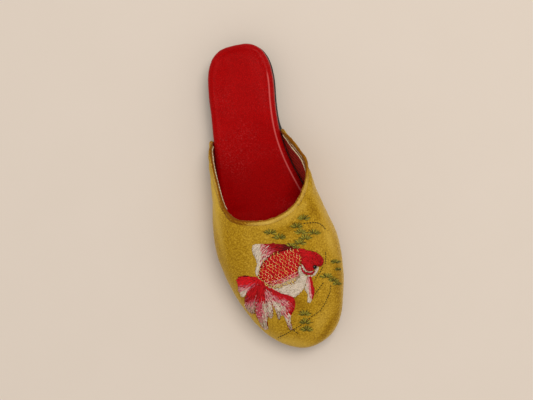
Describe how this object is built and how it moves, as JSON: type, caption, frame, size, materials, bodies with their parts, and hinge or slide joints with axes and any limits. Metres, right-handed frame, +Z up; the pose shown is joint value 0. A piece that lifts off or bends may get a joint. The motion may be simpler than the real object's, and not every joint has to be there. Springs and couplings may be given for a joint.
{
  "type": "babouche slipper",
  "caption": "Open-backed slipper for the right foot: rounded velvet upper with a rolled collar, padded leather footbed, thin sole and low heel.",
  "frame": {"origin": "on the floor below the centre of the bounding box", "axes": "+Z up, -Y towards the toe, +X towards the inner (medial) side of the right foot"},
  "size_m": [0.0976, 0.2484, 0.0507],
  "materials": {
    "sole_rubber": "matt dark grey sole",
    "heel_rubber": "matt dark grey heel block",
    "red_leather": "smooth deep red leather with a soft sheen",
    "velvet": "mustard gold velvet",
    "rolled_velvet": "mustard gold velvet turned over the edge",
    "cream_cord": "thin cream cord"
  },
  "bodies": {
    "root": {"outsole": "sole_rubber", "heel": "heel_rubber", "footbed": "red_leather", "upper": "velvet", "collar_roll": "rolled_velvet", "collar_piping": "cream_cord"}
  },
  "joints": []
}
